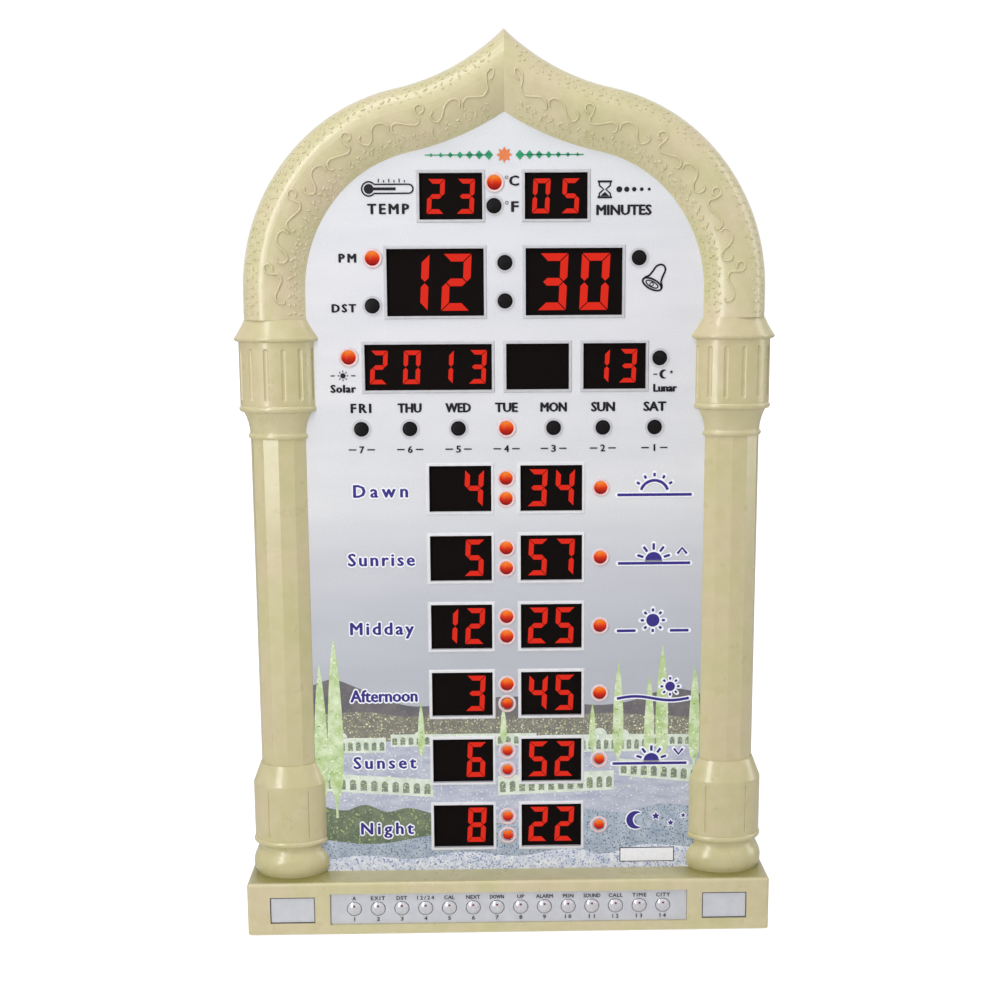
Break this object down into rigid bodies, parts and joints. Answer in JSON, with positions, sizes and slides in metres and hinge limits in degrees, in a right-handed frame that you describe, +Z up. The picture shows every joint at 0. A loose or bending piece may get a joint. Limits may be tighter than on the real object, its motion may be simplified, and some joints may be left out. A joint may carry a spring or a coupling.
{
  "type": "digital clock",
  "caption": "Arch-shaped digital clock with half columns, red numeric displays, lamps beside printed labels and a row of keys along its base.",
  "frame": {"origin": "on the standing surface, below the middle of the base (bottom centre of the bounding box)", "axes": "+Z up, +X to the right of a viewer who faces the dial, +Y from the dial to the back; the dial faces -Y"},
  "size_m": [0.2146, 0.054, 0.361],
  "materials": {
    "housing": "cream lacquered moulding with a faint marbled cast",
    "rubber": "matt",
    "dial_print": "satin printed sheet",
    "window_trim": "satin silver-grey",
    "module_black": "satin black",
    "figure_red": "lit red",
    "lamp_red": "lit orange-red, domed",
    "lamp_dark": "smoked",
    "board": "solder-resist green",
    "brass": "turned",
    "chip_black": "moulded",
    "capacitor_sleeve": "shrunk sleeve",
    "white_plastic": "moulded nylon",
    "cell_steel": "brushed",
    "sensor_sleeve": "dipped",
    "speaker_steel": "black zinc",
    "magnet": "ferrite",
    "cone_paper": "pressed paper",
    "silver_plate": "satin silver",
    "key_cap": "domed, silvery",
    "cable": "flat grey PVC",
    "screw_steel": "zinc-plated"
  },
  "bodies": {
    "root": {"arch_frame": "housing", "left_column": "housing", "right_column": "housing", "base_shell": "housing", "base_bottom_plate": "housing", "rear_cover": "housing", "rubber_feet": "rubber", "dial_panel": "dial_print", "window_frames": "window_trim", "lamp_rings": "window_trim", "temperature_display": "module_black", "countdown_display": "module_black", "hour_display": "module_black", "minute_display": "module_black", "year_display": "module_black", "month_display": "module_black", "day_display": "module_black", "row_displays": "module_black", "lit_figures": "figure_red", "lit_lamps": "lamp_red", "row_colon_lamps": "lamp_red", "row_marker_lamps": "lamp_red", "dark_lamps": "lamp_dark", "main_board": "board", "key_board": "board", "board_standoffs": "brass", "chips": "chip_black", "key_switches": "chip_black", "power_socket": "chip_black", "capacitors": "capacitor_sleeve", "board_connectors": "white_plastic", "cell_holder": "white_plastic", "backup_cell": "cell_steel", "temperature_sensor": "sensor_sleeve", "speaker_basket": "speaker_steel", "speaker_magnet": "magnet", "speaker_cone": "cone_paper", "speaker_dust_cap": "cone_paper", "left_blank_plate": "silver_plate", "right_blank_plate": "silver_plate", "key_panel": "silver_plate", "key_cable": "cable", "cover_screws": "screw_steel", "board_screws": "screw_steel", "bottom_screws": "screw_steel"},
    "key_01": {"key_01": "key_cap"},
    "key_02": {"key_02": "key_cap"},
    "key_03": {"key_03": "key_cap"},
    "key_04": {"key_04": "key_cap"},
    "key_05": {"key_05": "key_cap"},
    "key_06": {"key_06": "key_cap"},
    "key_07": {"key_07": "key_cap"},
    "key_08": {"key_08": "key_cap"},
    "key_09": {"key_09": "key_cap"},
    "key_10": {"key_10": "key_cap"},
    "key_11": {"key_11": "key_cap"},
    "key_12": {"key_12": "key_cap"},
    "key_13": {"key_13": "key_cap"},
    "key_14": {"key_14": "key_cap"}
  },
  "joints": [
    {"name": "key_01_press", "type": "slide", "parent": "root", "child": "key_01", "axis": [0, 1, 0], "range_m": [0, 0.0006], "stiffness_N_per_m": 900},
    {"name": "key_02_press", "type": "slide", "parent": "root", "child": "key_02", "axis": [0, 1, 0], "range_m": [0, 0.0006], "stiffness_N_per_m": 900},
    {"name": "key_03_press", "type": "slide", "parent": "root", "child": "key_03", "axis": [0, 1, 0], "range_m": [0, 0.0006], "stiffness_N_per_m": 900},
    {"name": "key_04_press", "type": "slide", "parent": "root", "child": "key_04", "axis": [0, 1, 0], "range_m": [0, 0.0006], "stiffness_N_per_m": 900},
    {"name": "key_05_press", "type": "slide", "parent": "root", "child": "key_05", "axis": [0, 1, 0], "range_m": [0, 0.0006], "stiffness_N_per_m": 900},
    {"name": "key_06_press", "type": "slide", "parent": "root", "child": "key_06", "axis": [0, 1, 0], "range_m": [0, 0.0006], "stiffness_N_per_m": 900},
    {"name": "key_07_press", "type": "slide", "parent": "root", "child": "key_07", "axis": [0, 1, 0], "range_m": [0, 0.0006], "stiffness_N_per_m": 900},
    {"name": "key_08_press", "type": "slide", "parent": "root", "child": "key_08", "axis": [0, 1, 0], "range_m": [0, 0.0006], "stiffness_N_per_m": 900},
    {"name": "key_09_press", "type": "slide", "parent": "root", "child": "key_09", "axis": [0, 1, 0], "range_m": [0, 0.0006], "stiffness_N_per_m": 900},
    {"name": "key_10_press", "type": "slide", "parent": "root", "child": "key_10", "axis": [0, 1, 0], "range_m": [0, 0.0006], "stiffness_N_per_m": 900},
    {"name": "key_11_press", "type": "slide", "parent": "root", "child": "key_11", "axis": [0, 1, 0], "range_m": [0, 0.0006], "stiffness_N_per_m": 900},
    {"name": "key_12_press", "type": "slide", "parent": "root", "child": "key_12", "axis": [0, 1, 0], "range_m": [0, 0.0006], "stiffness_N_per_m": 900},
    {"name": "key_13_press", "type": "slide", "parent": "root", "child": "key_13", "axis": [0, 1, 0], "range_m": [0, 0.0006], "stiffness_N_per_m": 900},
    {"name": "key_14_press", "type": "slide", "parent": "root", "child": "key_14", "axis": [0, 1, 0], "range_m": [0, 0.0006], "stiffness_N_per_m": 900}
  ]
}
